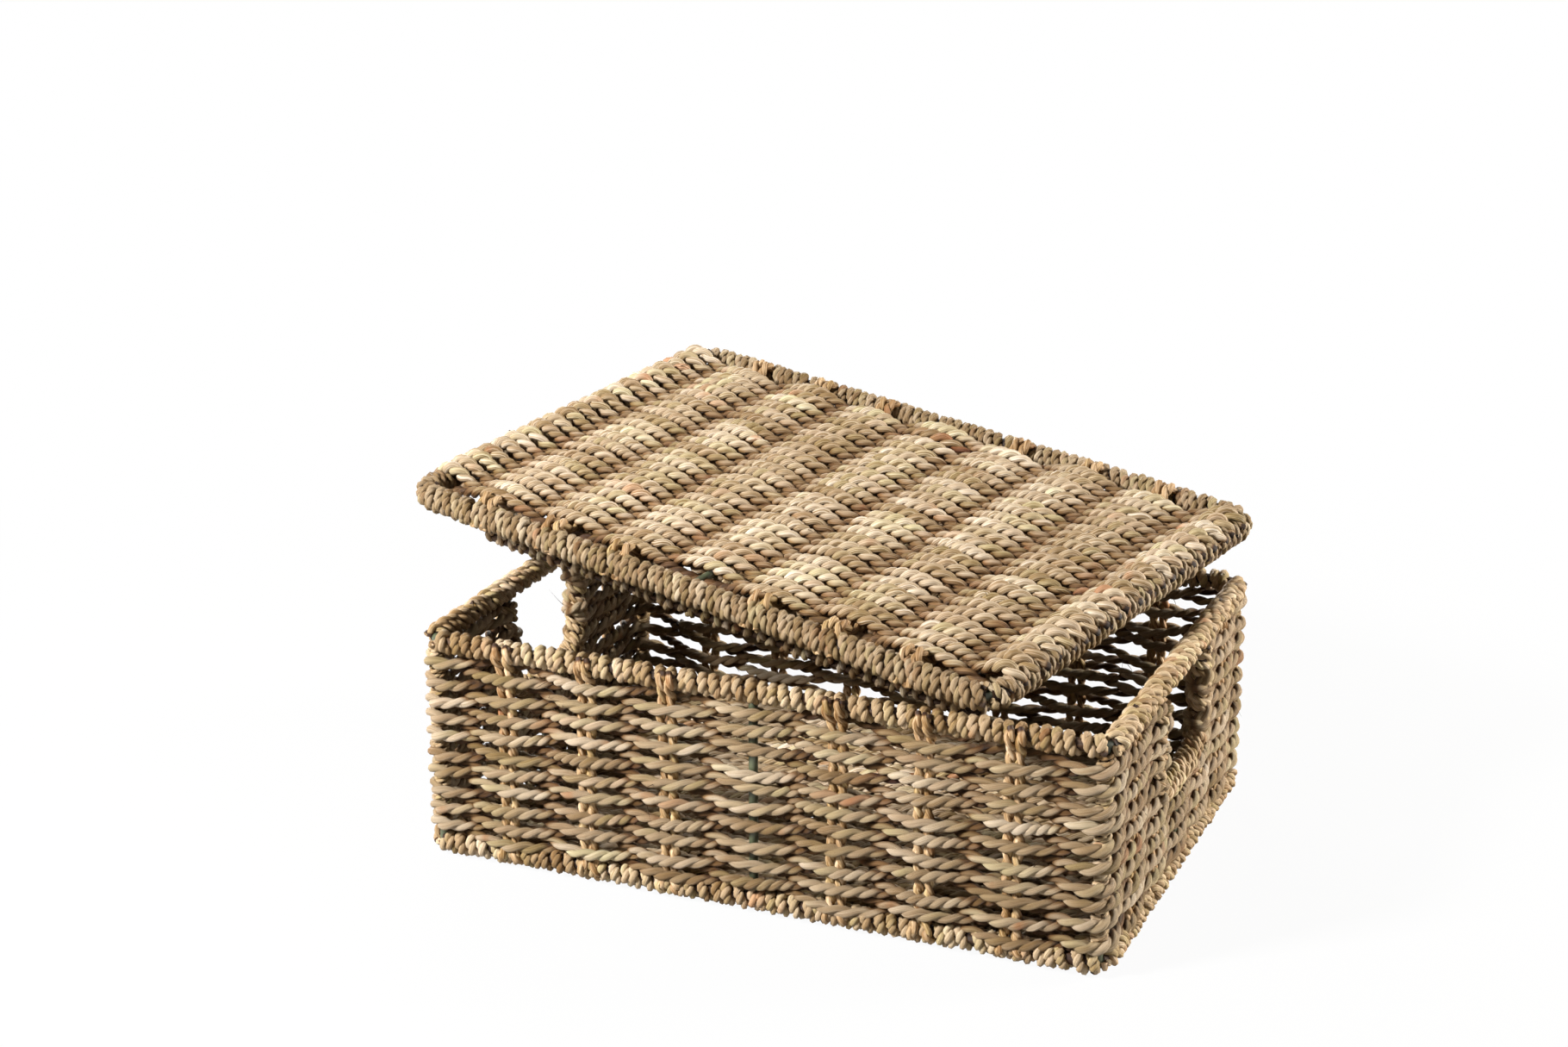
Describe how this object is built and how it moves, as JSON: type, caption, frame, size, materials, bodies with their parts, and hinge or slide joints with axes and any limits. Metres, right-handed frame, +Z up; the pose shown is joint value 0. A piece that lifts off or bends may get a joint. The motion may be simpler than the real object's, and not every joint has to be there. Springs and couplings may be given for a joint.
{
  "type": "woven lidded storage box",
  "caption": "Rectangular storage box of twined seagrass rope on a welded wire frame, with hand holes in the short sides and a loose woven lid with a lip lying askew on the rim.",
  "frame": {"origin": "middle of the flat underside of the base, on the surface that the box stands on", "axes": "+X along the long side to the right, the front faces -Y, +Z up"},
  "size_m": [0.3693, 0.2947, 0.1654],
  "materials": {
    "weaving_rope": "two-ply twisted seagrass rope, matt with a faint sheen",
    "binding_rope": "thin two-ply seagrass rope wound round the wire, matt",
    "stake_cord": "thin twisted seagrass cord, matt",
    "coated_wire": "dark green plastic coat on steel wire, satin"
  },
  "bodies": {
    "box": {"box_frame": "coated_wire", "base_weave": "weaving_rope", "rim_binding_front": "binding_rope", "rim_binding_rear": "binding_rope", "rim_binding_left": "binding_rope", "rim_binding_right": "binding_rope", "base_binding_front": "binding_rope", "base_binding_rear": "binding_rope", "base_binding_left": "binding_rope", "base_binding_right": "binding_rope", "hand_hole_binding_left": "binding_rope", "hand_hole_binding_right": "binding_rope", "stake_front_1": "stake_cord", "stake_front_2": "stake_cord", "stake_front_3": "stake_cord", "stake_front_5": "stake_cord", "stake_front_6": "stake_cord", "stake_front_7": "stake_cord", "stake_rear_1": "stake_cord", "stake_rear_2": "stake_cord", "stake_rear_3": "stake_cord", "stake_rear_5": "stake_cord", "stake_rear_6": "stake_cord", "stake_rear_7": "stake_cord", "stake_left_1": "stake_cord", "stake_left_2": "stake_cord", "stake_left_4": "stake_cord", "stake_left_5": "stake_cord", "stake_right_1": "stake_cord", "stake_right_2": "stake_cord", "stake_right_4": "stake_cord", "stake_right_5": "stake_cord", "lower_weaver_a": "weaving_rope", "lower_weaver_b": "weaving_rope", "front_weaver_a": "weaving_rope", "front_weaver_b": "weaving_rope", "rear_weaver_a": "weaving_rope", "rear_weaver_b": "weaving_rope"},
    "lid": {"lid_frame": "coated_wire", "lid_weave": "weaving_rope", "lid_stake_1": "stake_cord", "lid_stake_2": "stake_cord", "lid_stake_3": "stake_cord", "lid_stake_4": "stake_cord", "lid_stake_5": "stake_cord", "lid_stake_6": "stake_cord", "lid_border_front": "binding_rope", "lid_border_rear": "binding_rope", "lid_border_left": "binding_rope", "lid_border_right": "binding_rope", "lid_lip_front": "binding_rope", "lid_lip_rear": "binding_rope", "lid_lip_left": "binding_rope", "lid_lip_right": "binding_rope"}
  },
  "joints": [
    {"name": "lid_lift", "type": "slide", "parent": "box", "child": "lid", "axis": [0, 0, 1], "range_m": [0, 0.15]}
  ]
}
